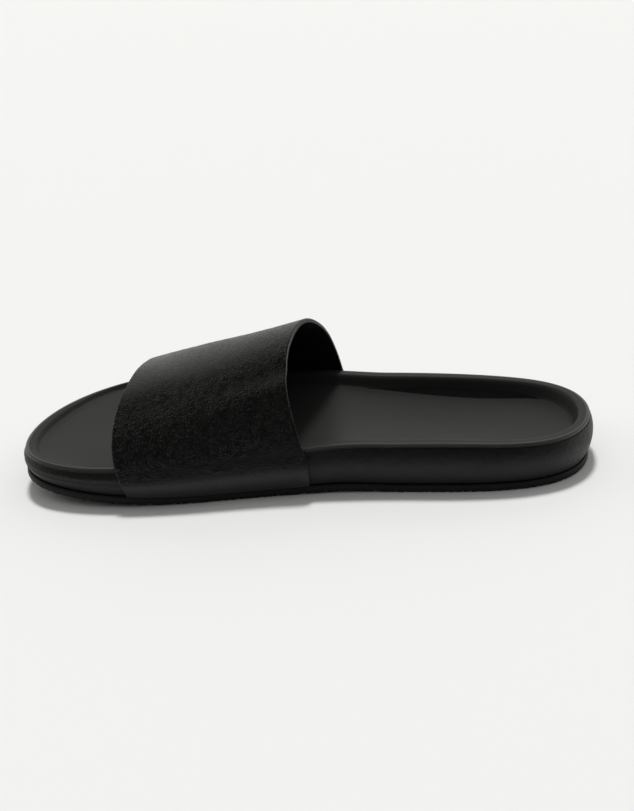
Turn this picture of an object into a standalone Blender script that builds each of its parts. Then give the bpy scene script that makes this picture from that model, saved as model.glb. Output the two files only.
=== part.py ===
# A plain slide sandal, right shoe: rubber outsole, contoured midsole wrapped in leather,
# smooth leather insole over the footbed and its rim, and one wide strap over the instep.
# Metres, +Z up, +Y to the toe, +X to the little-toe side; the origin is under the middle of the box.
import math

import bmesh
import bpy
import numpy as np

COLLECTION = "slide_sandal"

# Driving sizes
LENGTH = 0.285
OUTSOLE_THICK = 0.0042
INSOLE_THICK = 0.0015
STRAP_THICK = 0.0022
GAP = 0.0003

# The sole's underside, by station from heel (0) to toe (1): two flats on the floor, joined by a low arch
TOE_SPRING = 0.0082
TOE_SPRING_START = 0.66
HEEL_SPRING = 0.0008
HEEL_SPRING_END = 0.05
ARCH_LIFT = 0.0010
ARCH_START = 0.34
ARCH_END = 0.56

# Sections at equal turns of the outline's angle, from heel tip to toe tip.
# outer and inner are half widths on the little-toe and big-toe side of the middle line.
# Rim and bed heights are taken from the underside.
SECTION_COLUMNS = ("station", "outer", "inner", "rim_outer", "rim_inner", "bed_outer", "bed_middle", "bed_inner")
SECTIONS = (
    (0.000, -0.0034, 0.0034, 0.0240, 0.0240, 0.0178, 0.0172, 0.0178),
    (0.038, 0.0240, 0.0316, 0.0240, 0.0242, 0.0176, 0.0167, 0.0176),
    (0.146, 0.0383, 0.0446, 0.0242, 0.0248, 0.0172, 0.0156, 0.0175),
    (0.309, 0.0453, 0.0431, 0.0250, 0.0262, 0.0187, 0.0163, 0.0200),
    (0.500, 0.0535, 0.0397, 0.0246, 0.0246, 0.0204, 0.0180, 0.0206),
    (0.691, 0.0609, 0.0435, 0.0240, 0.0230, 0.0208, 0.0181, 0.0203),
    (0.854, 0.0497, 0.0446, 0.0202, 0.0184, 0.0192, 0.0172, 0.0175),
    (0.962, 0.0201, 0.0355, 0.0158, 0.0153, 0.0149, 0.0142, 0.0144),
    (1.000, -0.0137, 0.0137, 0.0141, 0.0141, 0.0132, 0.0132, 0.0132),
)

# Side wall of the midsole, bottom to top: how far it stands out of the outsole's outline
WALL_COLUMNS = ("height_share", "at_heel", "at_toe")
WALL = (
    (0.00, -0.0010, -0.0014),
    (0.12, 0.0002, -0.0007),
    (0.30, 0.0013, 0.0000),
    (0.50, 0.0019, 0.0004),
    (0.72, 0.0019, 0.0008),
    (0.90, 0.0014, 0.0009),
    (1.00, 0.0009, 0.0006),
)
WALL_BLEND_START = 0.30
WALL_BLEND_END = 0.60

# The insole's rim, from its edge inward: a low lip, then a slope down to the bed;
# the lip is wide from the heel to the waist and narrower at the toe
LIP_RISE = 0.0005
LIP_WIDTH = 0.0012
SLOPE_START_HEEL = 0.0054
SLOPE_END_HEEL = 0.0090
SLOPE_START_TOE = 0.0028
SLOPE_END_TOE = 0.0052
SLOPE_BLEND_START = 0.50
SLOPE_BLEND_END = 0.80
RIM_INSETS = (0.0, 0.0006, 0.0022, 0.0036, 0.0050, 0.0062, 0.0076, 0.0092)

# Outsole's side, underside to top: inset from its outline and height
OUTSOLE_SIDE_COLUMNS = ("inset", "height")
OUTSOLE_SIDE = (
    (0.0006, 0.0),
    (0.0001, 0.0003),
    (0.0000, 0.0008),
    (0.0000, 0.0035),
    (0.0004, OUTSOLE_THICK),
)

# The strap's edges: stations from the heel in metres, by share of the girth
# from the big-toe side's foot (0) over the instep to the little-toe side's foot (1)
STRAP_COLUMNS = ("girth", "rear", "front")
STRAP_EDGES = (
    (0.00, 0.1447, 0.2341),
    (0.16, 0.1470, 0.2385),
    (0.34, 0.1540, 0.2396),
    (0.50, 0.1478, 0.2308),
    (0.66, 0.1338, 0.2190),
    (0.84, 0.1216, 0.2091),
    (1.00, 0.1188, 0.2085),
)
FOOT_SHARE = 0.16
# The crown's outer height, its fullness and its lean to the big-toe side, at the rear and front edge
CROWN_REAR = 0.0698
CROWN_FRONT = 0.0490
CROWN_SAG = 0.0013
CROWN_STATIONS = (0.1478, 0.2308)
FULLNESS_REAR = 1.23
FULLNESS_FRONT = 1.41
LEAN_REAR = -0.0006
LEAN_FRONT = -0.0026
# Level clearance that leaves the strap's foot GAP away from the sloping wall
STRAP_CLEAR = 0.00036

# Mesh steps
AROUND = 80
BED_STEPS = 6
FLAT_STEPS = 4
ARCH_STEPS = 30
STRAP_STEPS = 12
MERGE_DISTANCE = 0.00001

# Looks: piece, base colour, roughness, and the angle in degrees from which its edges show sharp
LOOKS = (
    ("outsole", (0.018, 0.018, 0.019), 0.62, 40),
    ("midsole", (0.014, 0.014, 0.014), 0.48, 50),
    ("insole", (0.030, 0.031, 0.032), 0.55, 60),
    ("strap", (0.013, 0.013, 0.013), 0.42, 50),
)


def column(table, names, name):
    place = names.index(name)
    return np.array([row[place] for row in table])


def section(name):
    return column(SECTIONS, SECTION_COLUMNS, name)


def closed_curve(outer, inner):
    # A smooth closed curve through the outer values, heel to toe, and back through the inner ones
    values = np.concatenate([outer, inner[-2:0:-1]])
    count = len(values)
    waves = np.fft.rfft(values) / count

    def at(turn):
        total = waves[0].real + np.zeros_like(turn)
        for k in range(1, count // 2):
            total = total + 2 * (waves[k].real * np.cos(k * turn) - waves[k].imag * np.sin(k * turn))
        return total + waves[count // 2].real * np.cos(count // 2 * turn)

    return at


side_curve = closed_curve(section("outer"), -section("inner"))
rim_curve = closed_curve(section("rim_outer"), section("rim_inner"))
bed_edge_curve = closed_curve(section("bed_outer"), section("bed_inner"))
bed_middle_curve = closed_curve(section("bed_middle"), section("bed_middle"))


def smooth(value, start, end):
    share = np.clip((value - start) / (end - start), 0.0, 1.0)
    return share * share * (3 - 2 * share)


def lift(y):
    # Height of the sole's underside over the floor
    station = y / LENGTH + 0.5
    toe = np.clip((station - TOE_SPRING_START) / (1 - TOE_SPRING_START), 0, None)
    heel = np.clip((HEEL_SPRING_END - station) / HEEL_SPRING_END, 0, None)
    arch = np.clip((station - ARCH_START) / (ARCH_END - ARCH_START), 0, 1)
    return TOE_SPRING * toe ** 2 + HEEL_SPRING * heel ** 2 + ARCH_LIFT * np.sin(np.pi * arch) ** 2


def outline(turn, out=0.0):
    # Plan of the outsole, moved out along its normal; turn 0 is the heel tip, pi the toe tip
    step = 0.001
    x = side_curve(turn)
    y = -LENGTH / 2 * np.cos(turn)
    along_x = (side_curve(turn + step) - side_curve(turn - step)) / (2 * step)
    along_y = LENGTH / 2 * np.sin(turn)
    size = np.hypot(along_x, along_y)
    return x + out * along_y / size, y - out * along_x / size


def turn_at(station, side):
    # The outline's angle at a station in metres from the heel; side is +1 outer, -1 inner
    turn = np.arccos(np.clip(1 - 2 * station / LENGTH, -1, 1))
    return np.where(side > 0, turn, 2 * np.pi - turn)


def wall_out(station_share, height_share):
    blend = smooth(station_share, WALL_BLEND_START, WALL_BLEND_END)
    shares = column(WALL, WALL_COLUMNS, "height_share")
    heel = np.interp(height_share, shares, column(WALL, WALL_COLUMNS, "at_heel"))
    toe = np.interp(height_share, shares, column(WALL, WALL_COLUMNS, "at_toe"))
    return heel + (toe - heel) * blend


def wall_point(turn, height_share, stand=0.0):
    # A point of the midsole's side wall, moved level out of it by stand
    station_share = (1 - np.cos(turn)) / 2
    x, y = outline(turn, wall_out(station_share, height_share) + stand)
    low = OUTSOLE_THICK + GAP
    high = rim_curve(turn) - INSOLE_THICK - GAP
    z = low + (high - low) * height_share + lift(y)
    return np.stack([x, y, z], -1)


def ring(inset, height):
    # One closed row of points: inset from the outline, height over the underside, a value or a curve
    turn = np.arange(AROUND) * 2 * np.pi / AROUND
    x, y = outline(turn, -inset)
    z = height(turn) if callable(height) else height
    return np.stack([x, y, z + lift(y)], -1)


def fill(outer_ring, steps, height):
    # Points that fill a ring with rows across it; height takes the row's angle and the place across, -1 to 1
    points = list(outer_ring)
    half = AROUND // 2
    rows = [[0] * (steps + 1)]
    for i in range(1, half):
        turn = i * 2 * np.pi / AROUND
        row = [AROUND - i]
        for c in range(1, steps):
            share = c / steps
            place = outer_ring[AROUND - i] * (1 - share) + outer_ring[i] * share
            z = height(np.array(turn), 2 * share - 1) + lift(place[1])
            row.append(len(points))
            points.append(np.array([place[0], place[1], z]))
        row.append(i)
        rows.append(row)
    rows.append([half] * (steps + 1))
    faces = []
    for low, high in zip(rows[:-1], rows[1:]):
        for c in range(steps):
            corners = [low[c], low[c + 1], high[c + 1], high[c]]
            faces.append(list(dict.fromkeys(corners)))
    return np.array(points), faces


def stack(rings):
    # Bands of quads between closed rings that are listed one after another
    faces = []
    for j in range(len(rings) - 1):
        for i in range(AROUND):
            after = (i + 1) % AROUND
            faces.append([j * AROUND + i, j * AROUND + after, (j + 1) * AROUND + after, (j + 1) * AROUND + i])
    return np.concatenate(rings), faces


def sheet(rings, steps, height):
    # Rings from the edge inward, with the last one filled; the first AROUND points are the edge
    points, faces = stack(rings)
    inner, inner_faces = fill(rings[-1], steps, height)
    first = (len(rings) - 1) * AROUND
    faces = faces + [[first + k for k in face] for face in inner_faces]
    return np.concatenate([points[:first], inner]), faces


def normals(points, faces):
    # Point normals that face up; the edge row's are straight up, which keeps the edge upright
    total = np.zeros_like(points)
    for face in faces:
        corners = points[face]
        turned = np.cross(corners[1] - corners[0], corners[-1] - corners[0])
        turned = turned * (1 if turned[2] > 0 else -1)
        for k in face:
            total[k] += turned
    total /= np.linalg.norm(total, axis=1)[:, None]
    total[:AROUND] = (0, 0, 1)
    return total


def join(parts):
    # Joins lists of points and faces; where parts share an edge their points are merged in make_object
    points = []
    faces = []
    for part_points, part_faces in parts:
        first = sum(len(p) for p in points)
        points.append(part_points)
        faces += [[first + k for k in face] for face in part_faces]
    return np.concatenate(points), faces


def flat_bed(height):
    return lambda turn, across: height


def bed_height(turn, across):
    # The footbed over its width: a curve through the inner edge, the middle and the outer edge
    outer = bed_edge_curve(turn)
    inner = bed_edge_curve(2 * np.pi - turn)
    middle = bed_middle_curve(turn)
    return middle + (outer - inner) / 2 * across + ((outer + inner) / 2 - middle) * across ** 2


def rim_height(inset):
    # Height of the footbed's top at an inset from its edge, as a curve round the outline
    lip = LIP_RISE * smooth(inset, 0.0, LIP_WIDTH)

    def at(turn):
        toe = smooth((1 - np.cos(turn)) / 2, SLOPE_BLEND_START, SLOPE_BLEND_END)
        start = SLOPE_START_HEEL + (SLOPE_START_TOE - SLOPE_START_HEEL) * toe
        end = SLOPE_END_HEEL + (SLOPE_END_TOE - SLOPE_END_HEEL) * toe
        down = smooth(inset, start, end)
        return (rim_curve(turn) + lip) * (1 - down) + bed_edge_curve(turn) * down

    return at


def footbed():
    rings = [ring(inset, rim_height(inset)) for inset in RIM_INSETS]
    return sheet(rings, BED_STEPS, bed_height)


def outsole_shape():
    insets = column(OUTSOLE_SIDE, OUTSOLE_SIDE_COLUMNS, "inset")
    heights = column(OUTSOLE_SIDE, OUTSOLE_SIDE_COLUMNS, "height")
    side = [ring(inset, height) for inset, height in zip(insets, heights)]
    bottom = fill(side[0], FLAT_STEPS, flat_bed(0.0))
    top = fill(side[-1], FLAT_STEPS, flat_bed(OUTSOLE_THICK))
    return join([stack(side), bottom, top])


def midsole_shape():
    points, faces = footbed()
    top = points - normals(points, faces) * (INSOLE_THICK + GAP)
    turn = np.arange(AROUND) * 2 * np.pi / AROUND
    side = [wall_point(turn, share) for share in column(WALL, WALL_COLUMNS, "height_share")]
    side.append(top[:AROUND])
    bottom = fill(side[0], FLAT_STEPS, flat_bed(OUTSOLE_THICK + GAP))
    return join([stack(side), bottom, (top, faces)])


def insole_shape():
    points, faces = footbed()
    under = points - normals(points, faces) * INSOLE_THICK
    edge = stack([points[:AROUND], under[:AROUND]])
    return join([(points, faces), (under, faces), edge])


def edge_curve(name):
    # A natural cubic spline through an edge of the strap, by share of the girth
    knots = column(STRAP_EDGES, STRAP_COLUMNS, "girth")
    values = column(STRAP_EDGES, STRAP_COLUMNS, name)
    gaps = np.diff(knots)
    slopes = np.diff(values) / gaps
    count = len(knots)
    system = np.eye(count)
    sides = np.zeros(count)
    for k in range(1, count - 1):
        system[k, k - 1:k + 2] = (gaps[k - 1], 2 * (gaps[k - 1] + gaps[k]), gaps[k])
        sides[k] = 6 * (slopes[k] - slopes[k - 1])
    bends = np.linalg.solve(system, sides)

    def at(girth):
        k = min(max(int(np.searchsorted(knots, girth) - 1), 0), count - 2)
        after = girth - knots[k]
        before = knots[k + 1] - girth
        bent = (bends[k] * before ** 3 + bends[k + 1] * after ** 3) / (6 * gaps[k])
        low = (values[k] / gaps[k] - bends[k] * gaps[k] / 6) * before
        high = (values[k + 1] / gaps[k] - bends[k + 1] * gaps[k] / 6) * after
        return bent + low + high

    return at


rear_edge = edge_curve("rear")
front_edge = edge_curve("front")


def strap_inside(girth, share):
    # A point of the strap's inner face; share runs from the rear edge (0) to the front edge (1)
    station = rear_edge(girth) + (front_edge(girth) - rear_edge(girth)) * share
    inner_turn = turn_at(station, -1)
    outer_turn = turn_at(station, 1)
    if girth <= FOOT_SHARE:
        return wall_point(inner_turn, girth / FOOT_SHARE, STRAP_CLEAR)
    if girth >= 1 - FOOT_SHARE:
        return wall_point(outer_turn, (1 - girth) / FOOT_SHARE, STRAP_CLEAR)
    start = wall_point(inner_turn, 1.0, STRAP_CLEAR)
    end = wall_point(outer_turn, 1.0, STRAP_CLEAR)
    forward = (station - CROWN_STATIONS[0]) / (CROWN_STATIONS[1] - CROWN_STATIONS[0])
    crown = CROWN_REAR + (CROWN_FRONT - CROWN_REAR) * forward - CROWN_SAG * 4 * forward * (1 - forward)
    fullness = FULLNESS_REAR + (FULLNESS_FRONT - FULLNESS_REAR) * forward
    lean = LEAN_REAR + (LEAN_FRONT - LEAN_REAR) * forward
    angle = np.pi * (girth - FOOT_SHARE) / (1 - 2 * FOOT_SHARE)
    point = start + (end - start) * (1 - math.cos(angle)) / 2
    point[0] += lean * math.sin(angle) ** 2
    point[2] += (crown - STRAP_THICK - point[2]) * math.sin(angle) ** fullness
    return point


def strap_shape():
    foot = [FOOT_SHARE * share for share in column(WALL, WALL_COLUMNS, "height_share")]
    arch = [FOOT_SHARE + (1 - 2 * FOOT_SHARE) * k / ARCH_STEPS for k in range(1, ARCH_STEPS)]
    girths = foot + arch + [1 - girth for girth in reversed(foot)]
    inside = np.array([[strap_inside(g, k / STRAP_STEPS) for k in range(STRAP_STEPS + 1)] for g in girths])
    along_girth = np.gradient(inside, axis=0)
    along_station = np.gradient(inside, axis=1)
    out = np.cross(along_girth, along_station)
    # The foot's outer face stays level with its inner one, clear of the outsole
    out[..., 2] = np.maximum(out[..., 2], 0)
    out /= np.linalg.norm(out, axis=-1)[..., None]
    outside = inside + out * STRAP_THICK
    rows = len(girths)
    across = STRAP_STEPS + 1
    points = np.concatenate([inside.reshape(-1, 3), outside.reshape(-1, 3)])
    shell = rows * across
    faces = []
    for i in range(rows - 1):
        for j in range(STRAP_STEPS):
            corners = [i * across + j, i * across + j + 1, (i + 1) * across + j + 1, (i + 1) * across + j]
            faces.append(corners)
            faces.append([shell + k for k in reversed(corners)])
    loop = [i * across for i in range(rows)]
    loop += [(rows - 1) * across + j for j in range(1, across)]
    loop += [i * across + STRAP_STEPS for i in range(rows - 2, -1, -1)]
    loop += list(range(STRAP_STEPS - 1, 0, -1))
    for a, b in zip(loop, loop[1:] + loop[:1]):
        faces.append([a, b, shell + b, shell + a])
    return points, faces


def make_material(name, colour, roughness):
    material = bpy.data.materials.new(name)
    material.use_nodes = True
    shader = material.node_tree.nodes["Principled BSDF"]
    shader.inputs["Base Color"].default_value = (*colour, 1.0)
    shader.inputs["Roughness"].default_value = roughness
    shader.inputs["Metallic"].default_value = 0.0
    return material


def make_object(name, colour, roughness, sharp_degrees, shape, collection):
    points, faces = shape
    mesh = bpy.data.meshes.new(name)
    mesh.from_pydata(points.tolist(), [], faces)
    work = bmesh.new()
    work.from_mesh(mesh)
    bmesh.ops.remove_doubles(work, verts=work.verts, dist=MERGE_DISTANCE)
    bmesh.ops.recalc_face_normals(work, faces=work.faces)
    work.to_mesh(mesh)
    work.free()
    mesh.materials.append(make_material(name, colour, roughness))
    mesh.shade_smooth()
    mesh.set_sharp_from_angle(angle=math.radians(sharp_degrees))
    part = bpy.data.objects.new(name, mesh)
    collection.objects.link(part)
    return part


def centre_parts(parts):
    # Moves the meshes so that the origin lies under the middle of their common box
    places = np.concatenate([[list(v.co) for v in part.data.vertices] for part in parts])
    middle = (places.min(axis=0) + places.max(axis=0)) / 2
    for part in parts:
        for vertex in part.data.vertices:
            vertex.co.x -= middle[0]
            vertex.co.y -= middle[1]


def main():
    for old in list(bpy.data.objects):
        bpy.data.objects.remove(old, do_unlink=True)
    collection = bpy.data.collections.new(COLLECTION)
    bpy.context.scene.collection.children.link(collection)
    shapes = {"outsole": outsole_shape, "midsole": midsole_shape, "insole": insole_shape, "strap": strap_shape}
    centre_parts([make_object(*look, shapes[look[0]](), collection) for look in LOOKS])


main()
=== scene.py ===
import math
import bmesh
import bpy
import numpy as np
from mathutils import Matrix, Vector, noise


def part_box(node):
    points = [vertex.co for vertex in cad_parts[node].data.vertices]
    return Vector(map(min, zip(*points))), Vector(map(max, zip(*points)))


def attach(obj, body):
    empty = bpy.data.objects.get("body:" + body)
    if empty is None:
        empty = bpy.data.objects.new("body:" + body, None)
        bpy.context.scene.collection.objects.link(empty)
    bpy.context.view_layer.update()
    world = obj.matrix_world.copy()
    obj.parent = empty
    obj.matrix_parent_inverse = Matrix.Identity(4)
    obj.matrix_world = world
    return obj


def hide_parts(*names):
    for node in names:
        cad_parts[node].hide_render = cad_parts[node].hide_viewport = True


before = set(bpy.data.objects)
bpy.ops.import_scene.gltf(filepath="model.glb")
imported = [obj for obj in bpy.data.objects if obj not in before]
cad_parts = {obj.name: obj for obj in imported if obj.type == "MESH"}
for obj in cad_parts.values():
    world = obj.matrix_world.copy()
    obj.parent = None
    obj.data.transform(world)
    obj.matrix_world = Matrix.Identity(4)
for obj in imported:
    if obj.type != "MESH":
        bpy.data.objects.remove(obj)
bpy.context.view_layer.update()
print("slide sandal: CAD frame loaded")

# Metres, +Y to the toe, +X to the little-toe side, +Z up, as in the CAD frame.
# The shoe's own sizes, repeated from the CAD source so that the fine pieces lie on its solids
last = {
    "length": 0.285,
    "toeSpring": 0.0082, "toeSpringStart": 0.66,
    "heelSpring": 0.0008, "heelSpringEnd": 0.05,
    "archLift": 0.0010, "archStart": 0.34, "archEnd": 0.56,
    "gap": 0.0003,
    "columns": ("station", "outer", "inner", "rimOuter", "rimInner", "bedOuter", "bedMiddle", "bedInner"),
    "sections": (
        (0.000, -0.0034, 0.0034, 0.0240, 0.0240, 0.0178, 0.0172, 0.0178),
        (0.038, 0.0240, 0.0316, 0.0240, 0.0242, 0.0176, 0.0167, 0.0176),
        (0.146, 0.0383, 0.0446, 0.0242, 0.0248, 0.0172, 0.0156, 0.0175),
        (0.309, 0.0453, 0.0431, 0.0250, 0.0262, 0.0187, 0.0163, 0.0200),
        (0.500, 0.0535, 0.0397, 0.0246, 0.0246, 0.0204, 0.0180, 0.0206),
        (0.691, 0.0609, 0.0435, 0.0240, 0.0230, 0.0208, 0.0181, 0.0203),
        (0.854, 0.0497, 0.0446, 0.0202, 0.0184, 0.0192, 0.0172, 0.0175),
        (0.962, 0.0201, 0.0355, 0.0158, 0.0153, 0.0149, 0.0142, 0.0144),
        (1.000, -0.0137, 0.0137, 0.0141, 0.0141, 0.0132, 0.0132, 0.0132),
    ),
}


def lastColumn(name):
    place = last["columns"].index(name)
    return np.array([row[place] for row in last["sections"]])


def closedCurve(outer, inner):
    # smooth curve round the shoe: outer values heel to toe, and back through the inner ones
    values = np.concatenate([outer, inner[-2:0:-1]])
    count = len(values)
    waves = np.fft.rfft(values) / count

    def at(turn):
        total = waves[0].real + np.zeros_like(turn)
        for k in range(1, count // 2):
            total = total + 2 * (waves[k].real * np.cos(k * turn) - waves[k].imag * np.sin(k * turn))
        return total + waves[count // 2].real * np.cos(count // 2 * turn)

    return at


def throughPoints(knots, values):
    # natural cubic through a table's values
    knots, values = np.array(knots), np.array(values)
    gaps = np.diff(knots)
    slopes = np.diff(values) / gaps
    system, sides = np.eye(len(knots)), np.zeros(len(knots))
    for k in range(1, len(knots) - 1):
        system[k, k - 1:k + 2] = gaps[k - 1], 2 * (gaps[k - 1] + gaps[k]), gaps[k]
        sides[k] = 6 * (slopes[k] - slopes[k - 1])
    bends = np.linalg.solve(system, sides)

    def at(x):
        k = np.clip(np.searchsorted(knots, x) - 1, 0, len(gaps) - 1)
        after, before, gap = x - knots[k], knots[k + 1] - x, gaps[k]
        bent = (bends[k] * before ** 3 + bends[k + 1] * after ** 3) / (6 * gap)
        low, high = values[k] / gap - bends[k] * gap / 6, values[k + 1] / gap - bends[k + 1] * gap / 6
        return bent + low * before + high * after

    return at


def smooth(value, start, end):
    share = np.clip((value - start) / (end - start), 0.0, 1.0)
    return share * share * (3 - 2 * share)


def hump(value, middle, width):
    return np.exp(-((value - middle) / width) ** 2)


def blended(pair, share):
    return pair[0] + (pair[1] - pair[0]) * share


sideCurve = closedCurve(lastColumn("outer"), -lastColumn("inner"))
rimCurve = closedCurve(lastColumn("rimOuter"), lastColumn("rimInner"))
bedEdgeCurve = closedCurve(lastColumn("bedOuter"), lastColumn("bedInner"))
bedMiddleCurve = closedCurve(lastColumn("bedMiddle"), lastColumn("bedMiddle"))


def lift(y):
    # height of the sole's underside over the floor
    station = y / last["length"] + 0.5
    toe = np.clip((station - last["toeSpringStart"]) / (1 - last["toeSpringStart"]), 0, None)
    heel = np.clip((last["heelSpringEnd"] - station) / last["heelSpringEnd"], 0, None)
    arch = np.clip((station - last["archStart"]) / (last["archEnd"] - last["archStart"]), 0, 1)
    waist = last["archLift"] * np.sin(np.pi * arch) ** 2
    return last["toeSpring"] * toe ** 2 + last["heelSpring"] * heel ** 2 + waist


def outline(turn, out=0.0):
    # plan of the outsole moved out along its normal; turn 0 is the heel tip, pi the toe tip
    step = 0.001
    alongX = (sideCurve(turn + step) - sideCurve(turn - step)) / (2 * step)
    alongY = last["length"] / 2 * np.sin(turn)
    size = np.hypot(alongX, alongY)
    return sideCurve(turn) + out * alongY / size, -last["length"] / 2 * np.cos(turn) - out * alongX / size


def ringTurns(count):
    return np.arange(count) * 2 * np.pi / count


# The source centres the shoe on its box, so the pieces move by the same step
soleLow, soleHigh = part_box("outsole")
fineCount = 1440
fineX, fineY = outline(ringTurns(fineCount))
centre = np.array([(fineX.min() + fineX.max() - soleLow[0] - soleHigh[0]) / 2,
                   (fineY.min() + fineY.max() - soleLow[1] - soleHigh[1]) / 2, 0.0])


def ringGrid(rings):
    # quads between closed rings; rings is an array of rings x points x 3
    rows, count = rings.shape[:2]
    index = np.arange(rows * count).reshape(rows, count)
    after = np.roll(index, -1, axis=1)
    quads = np.stack([index[:-1], after[:-1], after[1:], index[1:]], -1).reshape(-1, 4)
    return rings.reshape(-1, 3), quads.tolist()


def gridQuads(index):
    # quads between the neighbours of a table of point numbers
    return np.stack([index[:-1, :-1], index[:-1, 1:], index[1:, 1:], index[1:, :-1]], -1)


def fillRing(ring, columns, height):
    # fills a ring with rows across the shoe; height takes turn, place across (-1 inner, 1 outer), x and y
    count = len(ring)
    half = count // 2
    turn = (np.arange(1, half) * 2 * np.pi / count)[:, None]
    share = (np.arange(1, columns) / columns)[None, :]
    outer, inner = ring[1:half, None, :2], ring[count - 1:half:-1, None, :2]
    place = inner * (1 - share[..., None]) + outer * share[..., None]
    x, y = place[..., 0], place[..., 1]
    z = height(turn, 2 * share - 1, x, y) + lift(y)
    index = np.empty((half + 1, columns + 1), int)
    index[0], index[half] = 0, half
    index[1:half, 0] = count - np.arange(1, half)
    index[1:half, columns] = np.arange(1, half)
    index[1:half, 1:columns] = count + np.arange((half - 1) * (columns - 1)).reshape(half - 1, columns - 1)
    quads = gridQuads(index)
    faces = quads[1:-1].reshape(-1, 4).tolist()
    for row in (quads[0], quads[-1]):
        faces += [list(dict.fromkeys(quad)) for quad in row.tolist()]
    faces = [face for face in faces if len(face) > 2]
    return np.concatenate([ring, np.stack([x, y, z], -1).reshape(-1, 3)]), faces


sharpAngle = 55
weldReach = 0.000001


def makePiece(name, parts, finishes, node):
    # parts are (points, faces, finish number); points that meet are merged
    points, faces, numbers, first = [], [], [], 0
    for partPoints, partFaces, number in parts:
        points.append(partPoints - centre)
        faces += [[first + k for k in face] for face in partFaces]
        numbers += [number] * len(partFaces)
        first += len(partPoints)
    mesh = bpy.data.meshes.new(name)
    mesh.from_pydata(np.concatenate(points).tolist(), [], faces)
    for finish in finishes:
        mesh.materials.append(finish)
    mesh.polygons.foreach_set("material_index", numbers)
    weld(mesh)
    mesh.shade_smooth()
    mesh.set_sharp_from_angle(angle=math.radians(sharpAngle))
    piece = bpy.data.objects.new(name, mesh)
    bpy.context.scene.collection.objects.link(piece)
    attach(piece, "root")
    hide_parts(node)
    print(name, len(mesh.polygons), "faces")


def weld(mesh):
    work = bmesh.new()
    work.from_mesh(mesh)
    bmesh.ops.remove_doubles(work, verts=work.verts, dist=weldReach)
    bmesh.ops.recalc_face_normals(work, faces=work.faces)
    work.to_mesh(mesh)
    work.free()


class Wire:
    # a socket that takes part in sums
    def __init__(self, finish, socket):
        self.finish, self.socket = finish, socket

    def maths(self, operation, *values):
        return self.finish.add("Math", {"operation": operation}, dict(enumerate(values)))

    def __add__(self, other):
        return self.maths("ADD", self, other)

    def __sub__(self, other):
        return self.maths("SUBTRACT", self, other)

    def __rsub__(self, other):
        return self.maths("SUBTRACT", other, self)

    def __mul__(self, other):
        return self.maths("MULTIPLY", self, other)

    def __abs__(self):
        return self.maths("ABSOLUTE", self)

    __radd__ = __add__
    __rmul__ = __mul__

    def between(self, low, high):
        # soft step from 0 at low to 1 at high
        return self.finish.add("MapRange", {"interpolation_type": "SMOOTHSTEP"},
                               {"Value": self, "From Min": low, "From Max": high})


class Finish:
    def __init__(self, name, look):
        self.material = bpy.data.materials.new(name)
        self.material.use_nodes = True
        self.tree = self.material.node_tree
        self.shader = self.tree.nodes["Principled BSDF"]
        for socket, value in look.items():
            self.shader.inputs[socket].default_value = value

    def add(self, kind, settings, sockets, output=0):
        made = self.tree.nodes.new("ShaderNode" + kind)
        for key, value in settings.items():
            setattr(made, key, value)
        for key, value in sockets.items():
            if isinstance(value, Wire):
                self.tree.links.new(value.socket, made.inputs[key])
            else:
                made.inputs[key].default_value = value
        return Wire(self, made.outputs[output])

    def place(self):
        # a point of the shoe in its own frame, in metres
        return self.add("TexCoord", {}, {}, "Object")

    def stretched(self, point, scale):
        return self.add("VectorMath", {"operation": "MULTIPLY"}, {0: point, 1: scale})

    def warped(self, point, scale, amount):
        # bends a place with soft noise so that no pattern runs straight
        soft = self.add("TexNoise", {}, {"Vector": point, "Scale": scale, "Detail": 2.0}, "Color")
        level = self.add("VectorMath", {"operation": "SUBTRACT"}, {0: soft, 1: (0.5, 0.5, 0.5)})
        moved = self.add("VectorMath", {"operation": "MULTIPLY"}, {0: level, 1: (amount, amount, amount)})
        return self.add("VectorMath", {"operation": "ADD"}, {0: point, 1: moved})

    def upward(self):
        # 1 where the face looks straight up, 0 where it stands upright, -1 underneath
        return self.add("SeparateXYZ", {}, {"Vector": self.add("TexCoord", {}, {}, "Normal")}, "Z")

    def cloud(self, point, scale, detail=3.0):
        return self.add("TexNoise", {}, {"Vector": point, "Scale": scale, "Detail": detail}, "Fac")

    def cells(self, point, scale):
        edges = {"feature": "DISTANCE_TO_EDGE"}
        return self.add("TexVoronoi", edges, {"Vector": point, "Scale": scale}, "Distance")

    def mixed(self, factor, colourA, colourB):
        return self.add("Mix", {"data_type": "RGBA"}, {0: factor, 6: (*colourA, 1.0), 7: (*colourB, 1.0)}, 2)

    def feed(self, socket, wire):
        self.tree.links.new(wire.socket, self.shader.inputs[socket])

    def bump(self, height):
        # height in millimetres
        bumped = self.add("Bump", {}, {"Strength": 1.0, "Distance": 0.001, "Height": height}, "Normal")
        self.feed("Normal", bumped)


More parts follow.
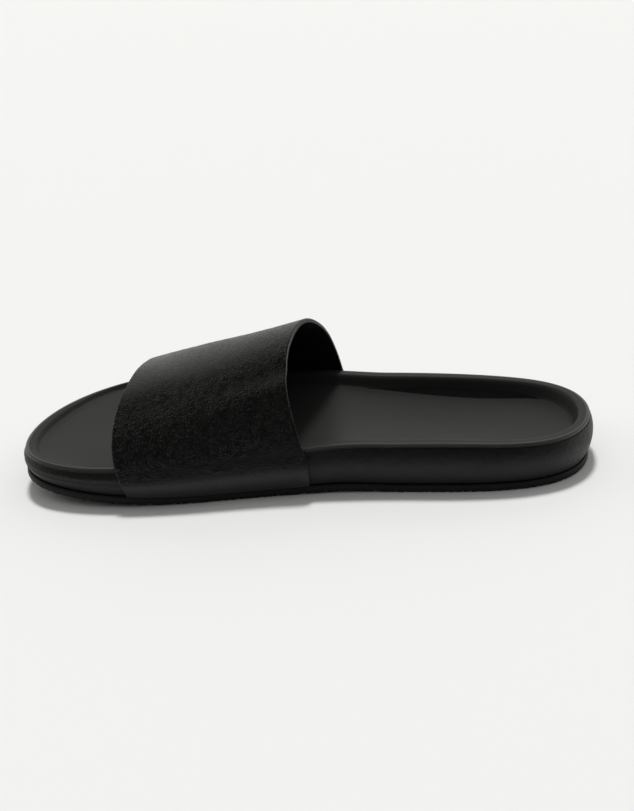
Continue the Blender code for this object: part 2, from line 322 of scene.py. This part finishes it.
# what both grained leathers share: how far the grain bends, where its cells end, how tone and gloss vary
grain = {
    "bend": 110, "bendReach": 0.0022, "pebbleEnds": (0.0, 0.42), "wrinkleEnds": (0.28, 0.72),
    "patch": 38, "pebbleTone": 0.6, "patchTone": 0.4, "pebbleGloss": 0.14, "patchGloss": 0.14,
}
grainLook = {
    "strap": {
        "dark": (0.0022, 0.0022, 0.0021), "light": (0.0055, 0.0054, 0.0051), "roughness": 0.30, "gloss": 0.40,
        "pebble": 760, "pebbleDepth": 0.32, "rowStretch": (0.80, 1.08, 0.80),
        "wrinkle": 340, "wrinkleDepth": 0.28, "foldStretch": (0.76, 1.12, 0.76),
        "pore": 2600, "poreDepth": 0.02, "strongFrom": (0.06, 0.46), "strongTo": (0.82, 0.985), "calm": 0.16,
    },
    "wall": {
        "dark": (0.0025, 0.0025, 0.0024), "light": (0.0060, 0.0059, 0.0056), "roughness": 0.42, "gloss": 0.40,
        "pebble": 980, "pebbleDepth": 0.07, "rowStretch": (0.80, 1.08, 0.80),
        "wrinkle": 420, "wrinkleDepth": 0.10, "foldStretch": (0.68, 1.20, 0.68),
        "pore": 3000, "poreDepth": 0.02, "strongFrom": (-1.0, -0.9), "strongTo": (0.98, 1.0), "calm": 0.8,
    },
}


def grainedLeather(name, look):
    # pebble grain in rows across the shoe, soft wrinkles and fine pores; the grain is deepest on the sides
    finish = Finish(name, {"Specular IOR Level": look["gloss"]})
    point = finish.warped(finish.place(), grain["bend"], grain["bendReach"])
    rows = finish.stretched(point, look["rowStretch"])
    pebble = finish.cells(rows, look["pebble"]).between(*grain["pebbleEnds"])
    folds = finish.stretched(point, look["foldStretch"])
    wrinkle = finish.cloud(folds, look["wrinkle"], 1.0).between(*grain["wrinkleEnds"])
    pore = finish.cloud(point, look["pore"], 2.0)
    patch = finish.cloud(point, grain["patch"], 3.0)
    upward = finish.upward()
    side = upward.between(*look["strongFrom"]) * (1 - upward.between(*look["strongTo"]))
    deep = look["calm"] + (1 - look["calm"]) * side
    relief = pebble * look["pebbleDepth"] + wrinkle * look["wrinkleDepth"]
    finish.bump(relief * deep + pore * look["poreDepth"])
    tone = pebble * grain["pebbleTone"] + patch * grain["patchTone"]
    finish.feed("Base Color", finish.mixed(tone, look["dark"], look["light"]))
    dull = look["roughness"] + (1 - pebble) * grain["pebbleGloss"] + (patch - 0.5) * grain["patchGloss"]
    finish.feed("Roughness", dull)
    return finish.material


plain = {"poreTone": 0.4, "patchTone": 0.6, "patchGloss": 0.16, "poreGloss": 0.10}
smoothLook = {
    "insole": {
        "dark": (0.0200, 0.0202, 0.0198), "light": (0.0300, 0.0302, 0.0296), "roughness": 0.48, "gloss": 0.15,
        "pore": 1900, "poreDepth": 0.018, "patch": 26,
    },
    "lining": {
        "dark": (0.0034, 0.0034, 0.0032), "light": (0.0075, 0.0074, 0.0070), "roughness": 0.55, "gloss": 0.30,
        "pore": 2200, "poreDepth": 0.020, "patch": 30,
    },
    # lip: the insole leather again, made lighter along its rounded top edge, a painted highlight
    "lip": {
        "dark": (0.0220, 0.0220, 0.0210), "light": (0.0450, 0.0450, 0.0432), "roughness": 0.36, "gloss": 0.50,
        "pore": 1900, "poreDepth": 0.018, "patch": 60,
    },
    "edge": {
        "dark": (0.0120, 0.0120, 0.0115), "light": (0.0300, 0.0300, 0.0290), "roughness": 0.50, "gloss": 0.50,
        "pore": 2800, "poreDepth": 0.040, "patch": 160,
    },
    "soleSide": {
        "dark": (0.0040, 0.0040, 0.0040), "light": (0.0090, 0.0090, 0.0089), "roughness": 0.55, "gloss": 0.20,
        "pore": 1700, "poreDepth": 0.030, "patch": 60,
    },
}


def smoothFace(name, look):
    # plain faces: fine pores and soft patches of tone
    finish = Finish(name, {"Specular IOR Level": look["gloss"]})
    point = finish.place()
    pore = finish.cloud(point, look["pore"], 3.0)
    patch = finish.cloud(point, look["patch"], 4.0)
    finish.bump(pore * look["poreDepth"])
    tone = pore * plain["poreTone"] + patch * plain["patchTone"]
    finish.feed("Base Color", finish.mixed(tone, look["dark"], look["light"]))
    dull = look["roughness"] + (patch - 0.5) * plain["patchGloss"] + (pore - 0.5) * plain["poreGloss"]
    finish.feed("Roughness", dull)
    return finish.material


crepeLook = {
    "dark": (0.0040, 0.0040, 0.0040), "light": (0.0260, 0.0260, 0.0255), "roughness": 0.40, "gloss": 0.50,
    "bend": 260, "bendReach": 0.003,
    "squiggle": 360, "squiggleEnds": (0.0, 0.10), "squiggleDepth": 0.34,
    "grit": 1500, "gritDepth": 0.12, "gritGloss": 0.35,
}


def crepeRubber(name, look):
    # the underside's crumbs: fine squiggles and grit over the modelled relief, with painted shade in their
    # pits and lighter tops
    finish = Finish(name, {"Specular IOR Level": look["gloss"]})
    point = finish.warped(finish.place(), look["bend"], look["bendReach"])
    squiggle = 1 - abs(finish.cloud(point, look["squiggle"], 2.0) - 0.5).between(*look["squiggleEnds"])
    grit = finish.cloud(point, look["grit"], 3.0)
    finish.bump(squiggle * look["squiggleDepth"] + grit * look["gritDepth"])
    # the colour follows the bump height: painted shade in the low pits, lighter on the raised squiggles
    finish.feed("Base Color", finish.mixed(squiggle * 0.5 + grit * 0.5, look["dark"], look["light"]))
    finish.feed("Roughness", look["roughness"] + (grit - 0.5) * look["gritGloss"])
    return finish.material


strapGrain = grainedLeather("strap grained leather", grainLook["strap"])
wallGrain = grainedLeather("wall grained leather", grainLook["wall"])
insoleLeather = smoothFace("insole smooth leather", smoothLook["insole"])
liningLeather = smoothFace("strap lining leather", smoothLook["lining"])
cutEdge = smoothFace("cut leather edge", smoothLook["edge"])
# the insole's rounded edge gets a lighter copy of its leather: a painted highlight along the lip
lipPaintedHighlight = smoothFace("insole lip painted highlight", smoothLook["lip"])
soleSide = smoothFace("rubber sole side", smoothLook["soleSide"])
soleCrepe = crepeRubber("rubber crepe underside", crepeLook)
print("finishes made")


outsole = {
    "thick": 0.0042,
    "around": 900, "across": 176,
    "side": ((0.0006, 0.0), (0.0002, 0.0004), (0.0, 0.0009), (0.0, 0.0014),
             (0.0, 0.0020), (0.0, 0.0030), (0.0001, 0.0037), (0.0004, 0.0042)),
    "crumbSize": 0.0042, "crumbDepth": 0.0010, "crumbReach": 0.0014, "edgeShare": 0.6,
    "crumbSlice": 3.7, "crumbTwist": 1.3, "twistSize": 0.9, "ridgeWidth": 0.24,
    "fineSize": 1.6, "fineWidth": 0.22, "fineTop": 0.9, "fineShift": (7, 2, 5),
    "lumpSize": 3.1, "lumpRange": (0.7, 0.6), "fullest": 0.92, "crumbSeed": 7,
}
plainColumns = 4
# without a seed the crumbs would twist another way in each run
noise.seed_set(outsole["crumbSeed"])


def crumb(x, y):
    # relief of the crepe: winding ridges at floor height, 0, with pits up to crumbDepth above them
    deep = np.empty(np.shape(x))
    flat = deep.reshape(-1)
    size = outsole["crumbSize"]
    shift = Vector(outsole["fineShift"])
    lumpLow, lumpSpan = outsole["lumpRange"]
    for k, (px, py) in enumerate(zip(np.ravel(x).tolist(), np.ravel(y).tolist())):
        spot = Vector((px / size, py / size, outsole["crumbSlice"]))
        spot += noise.noise_vector(spot * outsole["twistSize"]) * outsole["crumbTwist"]
        coarse = 1 - abs(noise.noise(spot)) / outsole["ridgeWidth"]
        fine = abs(noise.noise(spot * outsole["fineSize"] + shift)) / outsole["fineWidth"]
        ridge = max(coarse, outsole["fineTop"] - fine, 0)
        lump = 0.5 + 0.5 * noise.noise(spot * outsole["lumpSize"])
        flat[k] = 1 - min(1, outsole["fullest"] * math.sqrt(ridge) * (lumpLow + lumpSpan * lump))
    return deep * outsole["crumbDepth"]


def makeOutsole():
    turn = ringTurns(outsole["around"])
    rings = []
    for inset, height in outsole["side"]:
        x, y = outline(turn, -inset)
        rough = crumb(x, y) * max(0, 1 - height / outsole["crumbReach"]) * outsole["edgeShare"]
        rings.append(np.stack([x, y, height + rough + lift(y)], -1))
    bottom, bottomFaces = fillRing(rings[0], outsole["across"], lambda turn, across, x, y: crumb(x, y))
    top, topFaces = fillRing(rings[-1], plainColumns, lambda turn, across, x, y: outsole["thick"])
    side, sideFaces = ringGrid(np.array(rings))
    makePiece("outsoleCrepe", [(side, sideFaces, 0), (bottom, bottomFaces, 1), (top, topFaces, 0)],
              [soleSide, soleCrepe], "outsole")


makeOutsole()

# The midsole is the footbed's body, wrapped at its side in grained leather
midsole = {
    "around": 720, "rows": 26,
    "share": (0.0, 0.12, 0.30, 0.50, 0.72, 0.90, 1.0),
    "atHeel": (-0.0010, 0.0002, 0.0013, 0.0019, 0.0018, 0.0010, 0.0003),
    "atToe": (-0.0011, -0.0003, 0.0006, 0.0012, 0.0010, 0.0003, -0.0001),
    "blend": (0.30, 0.60),
    "toeCrease": 0.00035, "creaseShare": 0.56, "creaseWidth": 0.10, "creaseStation": (0.72, 0.86),
    "ripple": 0.00014, "rippleSize": 0.016, "seam": 0.00005,
    "underInset": 0.0012, "overInset": 0.0016, "innerHeight": 0.0125,
}
insoleThick = 0.0015
wallAtHeel = throughPoints(midsole["share"], midsole["atHeel"])
wallAtToe = throughPoints(midsole["share"], midsole["atToe"])


def wallPoint(turn, share, stand=0.0):
    # a point of the midsole's side, moved level out of it by stand
    blend = smooth((1 - np.cos(turn)) / 2, *midsole["blend"])
    out = wallAtHeel(share) * (1 - blend) + wallAtToe(share) * blend
    x, y = outline(turn, out + stand)
    low = outsole["thick"] + last["gap"]
    high = rimCurve(turn) - insoleThick - midsole["seam"]
    return np.stack([x, y, low + (high - low) * share + lift(y)], -1)


def soft(points, size, seed=0.0):
    # gentle noise at each point, about -1 to 1
    flat = points.reshape(-1, 3) / size + seed
    return np.array([noise.noise(Vector(p)) for p in flat.tolist()]).reshape(points.shape[:-1])


def makeMidsole():
    turn = ringTurns(midsole["around"])
    station = (1 - np.cos(turn)) / 2
    rings = []
    for share in np.linspace(0, 1, midsole["rows"]):
        plain = wallPoint(turn, share)
        crease = midsole["toeCrease"] * smooth(station, *midsole["creaseStation"])
        crease = crease * hump(share, midsole["creaseShare"], midsole["creaseWidth"])
        ripple = midsole["ripple"] * soft(plain, midsole["rippleSize"]) * math.sin(math.pi * share)
        rings.append(wallPoint(turn, share, ripple - crease))
    under = wallPoint(turn, 0.0, -midsole["underInset"])
    over = wallPoint(turn, 1.0, -midsole["overInset"])
    rings = [under] + rings + [over]
    side, sideFaces = ringGrid(np.array(rings))
    floor = outsole["thick"] + last["gap"]
    bottom, bottomFaces = fillRing(under, plainColumns, lambda turn, across, x, y: floor)
    top, topFaces = fillRing(over, plainColumns, lambda turn, across, x, y: midsole["innerHeight"])
    makePiece("midsoleWrap", [(side, sideFaces, 0), (bottom, bottomFaces, 0), (top, topFaces, 0)],
              [wallGrain], "midsole")


makeMidsole()

insole = {
    "around": 600, "across": 64,
    "edgeRound": 0.0007, "lipRise": 0.0005, "lipWidth": 0.0012,
    "station": (0.0, 0.35, 0.52, 0.70, 0.80, 0.86, 0.94, 1.0),
    "lip": (0.0052, 0.0058, 0.0056, 0.0034, 0.0018, 0.0020, 0.0040, 0.0044),
    "slope": (0.0034, 0.0034, 0.0030, 0.0024, 0.0020, 0.0018, 0.0018, 0.0024),
    "creaseDepth": 0.00030, "creaseWidth": 0.0005, "lineRings": 8, "hemInset": 0.0018, "hemRise": 0.0002,
    "insets": (0.0, 0.0001, 0.00025, 0.0004, 0.0006, 0.0009, 0.0013, 0.0018,
               0.0023, 0.0028, 0.0034, 0.0040, 0.0046, 0.0052, 0.0058, 0.0063,
               0.0067, 0.0071, 0.0075, 0.0079, 0.0083, 0.0087, 0.0091, 0.0095),
    "wave": 0.00022, "waveSize": 0.045,
}


lipWidth = throughPoints(insole["station"], insole["lip"])
slopeWidth = throughPoints(insole["station"], insole["slope"])


def bedHeight(turn, across, x, y):
    outer, inner = bedEdgeCurve(turn), bedEdgeCurve(2 * np.pi - turn)
    middle = bedMiddleCurve(turn)
    bowl = middle + (outer - inner) / 2 * across + ((outer + inner) / 2 - middle) * across ** 2
    spots = np.stack(np.broadcast_arrays(x, y, 0.0), -1)
    return bowl + insole["wave"] * soft(spots, insole["waveSize"]) * (1 - across ** 4)


def rimHeight(turn, inset):
    lip = insole["lipRise"] * smooth(inset, 0.0, insole["lipWidth"])
    short = max(0.0, 1 - inset / insole["edgeRound"])
    rounded = insole["edgeRound"] * (1 - math.sqrt(1 - short ** 2))
    station = (1 - np.cos(turn)) / 2
    start = lipWidth(station)
    end = start + slopeWidth(station)
    down = smooth(inset, start, end)
    crease = insole["creaseDepth"] * hump(inset, end - insole["creaseWidth"], insole["creaseWidth"])
    return (rimCurve(turn) + lip) * (1 - down) + bedEdgeCurve(turn) * down - rounded - crease


def makeInsole():
    turn = ringTurns(insole["around"])
    rings = []
    for inset in insole["insets"]:
        x, y = outline(turn, -inset)
        rings.append(np.stack([x, y, rimHeight(turn, inset) + lift(y)], -1))
    x, y = outline(turn)
    foot = np.stack([x, y, rimCurve(turn) - insoleThick + lift(y)], -1)
    under = wallPoint(turn, 1.0, -insole["hemInset"])
    under[:, 2] = foot[:, 2]
    hem = np.array([under, foot, foot + (0, 0, insole["hemRise"]), rings[0]])
    hemSide, hemFaces = ringGrid(hem)
    line = insole["lineRings"]
    # the first rings, the rounded edge, take the lighter lip finish with its painted highlight
    edge, edgeFaces = ringGrid(np.array(rings[:line]))
    top, topFaces = ringGrid(np.array(rings[line - 1:]))
    bed, bedFaces = fillRing(rings[-1], insole["across"], bedHeight)
    parts = [(hemSide, hemFaces, 2), (edge, edgeFaces, 1), (top, topFaces, 0), (bed, bedFaces, 0)]
    makePiece("insoleSock", parts, [insoleLeather, lipPaintedHighlight, wallGrain], "insole")


makeInsole()

# The strap is grained leather outside and smooth lining inside
strap = {
    "girth": (0.0, 0.16, 0.34, 0.50, 0.66, 0.84, 1.0),
    "rear": (0.1447, 0.1470, 0.1540, 0.1478, 0.1338, 0.1216, 0.1188),
    "front": (0.2341, 0.2385, 0.2396, 0.2308, 0.2190, 0.2091, 0.2085),
    "foot": 0.16,
    "crown": (0.0698, 0.0490), "crownSag": 0.0013, "crownStations": (0.1478, 0.2308),
    "fullness": (1.23, 1.41), "lean": (-0.0006, -0.0026), "clear": 0.00036,
    "thick": 0.0022, "leather": 0.0013, "seam": 0.00006,
    "width": 0.088, "footHeight": 0.018,
    "footRows": 22, "archRows": 168, "columns": 134, "liningRows": 70, "liningColumns": 44,
    "junction": 0.05, "easing": 16, "edgeSteps": 6, "footEnd": 0.985,
    "edgeRound": 0.00055, "footRound": 0.0011, "innerRound": 0.0001, "roundShare": 0.62,
    "liningRound": 0.0003, "liningFootRound": 0.0002,
    "dentDepth": 0.00125, "dentGirth": 0.384, "dentWidth": 0.022, "dentDrift": 0.012,
    "ridgeHeight": 0.00115, "ridgeGirth": 0.338, "ridgeWidth": 0.025, "ridgeDrift": 0.045,
    "fadeFrom": 0.04, "fadeTo": 0.60, "fadeLeft": 0.12,
    "farDepth": 0.00042, "farGirth": 0.63, "farWidth": 0.04, "farFade": (0.2, 0.8),
    "wave": 0.00032, "waveSize": 0.022, "waveSeed": 5.0, "waveFrom": (0.17, 0.24),
    "rib": 0.00020, "ribSize": 0.0034, "ribSeed": 9.0, "ribStretch": (0.4, 1.0, 0.4),
    "ribBend": 0.0012, "ribBendSize": 0.009, "ribBendSeed": 2.0,
    "ribGirth": 0.30, "ribWidth": 0.11, "ribCrown": 0.12, "ribFrom": (0.10, 0.20),
}
rearEdge = throughPoints(strap["girth"], strap["rear"])
frontEdge = throughPoints(strap["girth"], strap["front"])


def turnAt(station, side):
    turn = np.arccos(np.clip(1 - 2 * station / last["length"], -1, 1))
    return turn if side > 0 else 2 * np.pi - turn


def strapRow(girth, share):
    # inner face at one girth, from the rear edge (share 0) to the front edge (1)
    rear, front = rearEdge(np.array(girth)), frontEdge(np.array(girth))
    station = rear + (front - rear) * share
    inner, outer = turnAt(station, -1), turnAt(station, 1)
    foot = strap["foot"]
    if girth <= foot:
        return wallPoint(inner, girth / foot, strap["clear"])
    if girth >= 1 - foot:
        return wallPoint(outer, (1 - girth) / foot, strap["clear"])
    start, end = wallPoint(inner, 1.0, strap["clear"]), wallPoint(outer, 1.0, strap["clear"])
    crownRear, crownFront = strap["crownStations"]
    forward = (station - crownRear) / (crownFront - crownRear)
    crown = blended(strap["crown"], forward) - strap["crownSag"] * 4 * forward * (1 - forward)
    fullness = blended(strap["fullness"], forward)
    lean = blended(strap["lean"], forward)
    angle = np.pi * (girth - foot) / (1 - 2 * foot)
    point = start + (end - start) * (1 - math.cos(angle)) / 2
    point[:, 0] += lean * math.sin(angle) ** 2
    point[:, 2] += (crown - strap["thick"] - point[:, 2]) * math.sin(angle) ** fullness
    return point


def eased(count, edge, length):
    # places 0 to 1 with extra ones near both ends, for their rounding
    near = edge / length * (1 - np.cos(np.linspace(0, np.pi / 2, strap["edgeSteps"])))
    return np.concatenate([near[:-1], np.linspace(near[-1], 1 - near[-1], count), 1 - near[-2::-1]])


def strapFaces(rows, columns):
    share = eased(columns, strap["edgeRound"], strap["width"])
    foot = strap["foot"]
    low = foot * eased(strap["footRows"], strap["footRound"], strap["footHeight"])
    low = low[low < foot * strap["footEnd"]]
    arch = np.linspace(foot, 1 - foot, rows)
    girth = np.concatenate([low, arch, 1 - low[::-1]])
    inside = np.array([strapRow(g, share) for g in girth])
    # the bend where the arch leaves the wall is eased, or it would catch the light as a line
    near = (hump(girth, foot, strap["junction"]) + hump(girth, 1 - foot, strap["junction"]))[1:-1, None, None]
    for k in range(strap["easing"]):
        inside[1:-1] += 0.5 * near * ((inside[:-2] + inside[2:]) / 2 - inside[1:-1])
    out = np.cross(np.gradient(inside, axis=0), np.gradient(inside, axis=1))
    onWall = ((girth < foot) | (girth > 1 - foot))[:, None]
    out[..., 2] = np.where(onWall, np.maximum(out[..., 2], 0), out[..., 2])
    out /= np.linalg.norm(out, axis=-1)[..., None]
    return girth, share, inside, out


def bothEnds(girth, start, end):
    # soft step up from each foot, the same on the inner and the outer side
    return smooth(girth, start, end) * smooth(1 - girth, start, end)


def strapForm(girth, share, inside):
    # how the leather stands out of its plain arch: a dent and a ridge, a far dent, soft waves and fine ribs
    g, s = girth[:, None], share[None, :]
    fade = 1 - (1 - strap["fadeLeft"]) * smooth(s, strap["fadeFrom"], strap["fadeTo"])
    dent = strap["dentDepth"] * hump(g, strap["dentGirth"] - strap["dentDrift"] * s, strap["dentWidth"])
    ridge = strap["ridgeHeight"] * hump(g, strap["ridgeGirth"] - strap["ridgeDrift"] * s, strap["ridgeWidth"])
    far = strap["farDepth"] * hump(g, strap["farGirth"], strap["farWidth"])
    far = far * (1 - smooth(s, *strap["farFade"]))
    wave = strap["wave"] * soft(inside, strap["waveSize"], strap["waveSeed"])
    bend = strap["ribBend"] * soft(inside, strap["ribBendSize"], strap["ribBendSeed"])[..., None]
    rib = strap["rib"] * soft(inside * strap["ribStretch"] + bend, strap["ribSize"], strap["ribSeed"])
    side = hump(g, strap["ribGirth"], strap["ribWidth"]) + hump(1 - g, strap["ribGirth"], strap["ribWidth"])
    form = ((ridge - dent) * fade - far + wave) * bothEnds(g, *strap["waveFrom"])
    ribbed = strap["ribCrown"] + (1 - strap["ribCrown"]) * side
    return form + rib * ribbed * bothEnds(g, *strap["ribFrom"])


def sheetLayer(name, faces, low, high, rounds, finishes):
    # one closed layer of the strap between two distances from its inner face
    girth, share, inside, out = faces
    lowRound, highRound, footRound = rounds
    along = np.minimum(share, 1 - share) * strap["width"]
    across = np.minimum(girth, 1 - girth) / strap["foot"] * strap["footHeight"]

    def rounding(distance, radius):
        short = np.clip(1 - distance / radius, 0, 1)
        return radius * (1 - np.sqrt(1 - short ** 2))

    topDrop = np.maximum(rounding(along, highRound)[None, :], rounding(across, footRound)[:, None])
    lowRise = rounding(along, lowRound)[None, :] + 0 * topDrop
    topDrop = np.minimum(topDrop, (high - low) * strap["roundShare"])
    bottom = inside + out * (low + lowRise)[..., None]
    top = inside + out * (high - topDrop)[..., None]
    rows, columns = bottom.shape[:2]
    index = np.arange(rows * columns).reshape(rows, columns)
    quads = gridQuads(index).reshape(-1, 4).tolist()
    loop = np.concatenate([index[:, 0], index[-1, 1:], index[-2::-1, -1], index[0, -2:0:-1]]).tolist()
    shell = rows * columns
    rim = [[a, b, shell + b, shell + a] for a, b in zip(loop, loop[1:] + loop[:1])]
    points = np.concatenate([bottom.reshape(-1, 3), top.reshape(-1, 3)])
    upper = [[shell + k for k in quad] for quad in quads]
    parts = [(points, upper, 0), (points, quads, 1), (points, rim, 2)]
    makePiece(name, parts, finishes, "strap")


def formedFaces(rows, columns):
    girth, share, inside, out = strapFaces(rows, columns)
    return girth, share, inside + out * strapForm(girth, share, inside)[..., None], out


def makeStrap():
    split = strap["thick"] - strap["leather"]
    leatherRounds = (strap["innerRound"], strap["edgeRound"], strap["footRound"])
    liningRounds = (strap["liningRound"], strap["innerRound"], strap["liningFootRound"])
    leather = formedFaces(strap["archRows"], strap["columns"])
    lining = formedFaces(strap["liningRows"], strap["liningColumns"])
    leathers = [strapGrain, liningLeather, cutEdge]
    sheetLayer("strapLeather", leather, split, strap["thick"], leatherRounds, leathers)
    linings = [liningLeather, liningLeather, cutEdge]
    sheetLayer("strapLining", lining, 0.0, split - strap["seam"], liningRounds, linings)


makeStrap()
print("strap made")

studio = {
    "cameraAt": (-0.8725, 0.0351, 0.4448), "aim": (0.0, -0.004, 0.026), "roll": 1.39,
    "lens": 84.0, "sensor": 36.0,
    "floorReach": 6.0, "floorColour": (0.86, 0.86, 0.86, 1.0), "cardColour": (0.004, 0.004, 0.004, 1.0),
    "world": (0.62, 0.62, 0.62, 1.0), "worldStrength": 0.04,
    "card": {"from": -0.75, "to": -0.10, "reach": 0.6, "height": 0.001},
    "key": {"towards": (-0.33, -0.05, -0.94), "strength": 2.05, "spread": 10, "colour": (1.0, 1.0, 0.988)},
}
# the softbox fills what the key light leaves dark; only the panels show in the leather's gloss
lamps = {
    "softbox": {"at": (-0.9, 0.0, 1.6), "size": (3.5, 3.5), "power": 15,
                "colour": (1.0, 1.0, 0.988), "reflected": False},
    "backPanel": {"at": (2.0, 0.0, 1.15), "size": (3.6, 2.3), "power": 21,
                  "colour": (1.0, 0.99, 0.945), "reflected": True},
    "heelPanel": {"at": (0.5, -2.2, 1.0), "size": (2.4, 2.0), "power": 12,
                  "colour": (1.0, 0.99, 0.945), "reflected": True},
    "toePanel": {"at": (0.5, 2.2, 1.0), "size": (2.4, 2.0), "power": 12,
                 "colour": (1.0, 0.99, 0.945), "reflected": True},
}


def makeSheet(name, low, high, height, colour):
    # a level matt rectangle from corner low to corner high
    corners = [(low[0], low[1]), (high[0], low[1]), (high[0], high[1]), (low[0], high[1])]
    mesh = bpy.data.meshes.new(name)
    mesh.from_pydata([(x, y, height) for x, y in corners], [], [[0, 1, 2, 3]])
    matt = {"Base Color": colour, "Roughness": 0.9, "Specular IOR Level": 0.0}
    mesh.materials.append(Finish(name, matt).material)
    sheet = bpy.data.objects.new(name, mesh)
    bpy.context.scene.collection.objects.link(sheet)
    return sheet


def makeFloor():
    reach = studio["floorReach"]
    makeSheet("studioFloor", (-reach, -reach), (reach, reach), 0.0, studio["floorColour"])


def makeDarkCard():
    # a dark card on the camera's side, seen only in reflections: it deepens the blacks of the near side
    card = studio["card"]
    low = (card["from"], -card["reach"])
    high = (card["to"], card["reach"])
    sheet = makeSheet("darkCard", low, high, card["height"], studio["cardColour"])
    sheet.visible_camera = sheet.visible_diffuse = sheet.visible_shadow = False


def makeLight(name):
    look = lamps[name]
    lamp = bpy.data.lights.new(name, "AREA")
    lamp.shape = "RECTANGLE"
    lamp.size, lamp.size_y = look["size"]
    lamp.energy = look["power"]
    lamp.color = look["colour"]
    light = bpy.data.objects.new(name, lamp)
    light.location = look["at"]
    # the panels stand upright and face the shoe, the softbox faces straight down
    x, y, z = look["at"]
    towards = Vector((-x, -y, 0)) if look["reflected"] else Vector((0, 0, -z))
    light.rotation_euler = towards.to_track_quat("-Z", "Y").to_euler()
    light.visible_glossy = look["reflected"]
    bpy.context.scene.collection.objects.link(light)


def makeKey():
    # the key light stands high behind the shoe: it draws the narrow shadow along the sole's near side
    look = studio["key"]
    lamp = bpy.data.lights.new("keyLight", "SUN")
    lamp.energy = look["strength"]
    lamp.angle = math.radians(look["spread"])
    lamp.color = look["colour"]
    light = bpy.data.objects.new("keyLight", lamp)
    light.rotation_euler = Vector(look["towards"]).to_track_quat("-Z", "Y").to_euler()
    light.visible_glossy = False
    bpy.context.scene.collection.objects.link(light)


def makeCamera():
    lens = bpy.data.cameras.new("photoCamera")
    lens.lens, lens.sensor_width = studio["lens"], studio["sensor"]
    camera = bpy.data.objects.new("photoCamera", lens)
    towards = Vector(studio["aim"]) - Vector(studio["cameraAt"])
    level = towards.to_track_quat("-Z", "Y").to_matrix().to_4x4()
    rolled = level @ Matrix.Rotation(math.radians(-studio["roll"]), 4, "Z")
    camera.matrix_world = Matrix.Translation(studio["cameraAt"]) @ rolled
    bpy.context.scene.collection.objects.link(camera)
    bpy.context.scene.camera = camera


def makeWorld():
    world = bpy.data.worlds.new("studioWorld")
    world.use_nodes = True
    back = world.node_tree.nodes["Background"]
    back.inputs["Color"].default_value = studio["world"]
    back.inputs["Strength"].default_value = studio["worldStrength"]
    bpy.context.scene.world = world
    bpy.context.scene.view_settings.view_transform = "Standard"


makeFloor()
makeWorld()
for lampName in lamps:
    makeLight(lampName)
makeKey()
makeDarkCard()
makeCamera()
print("studio made")
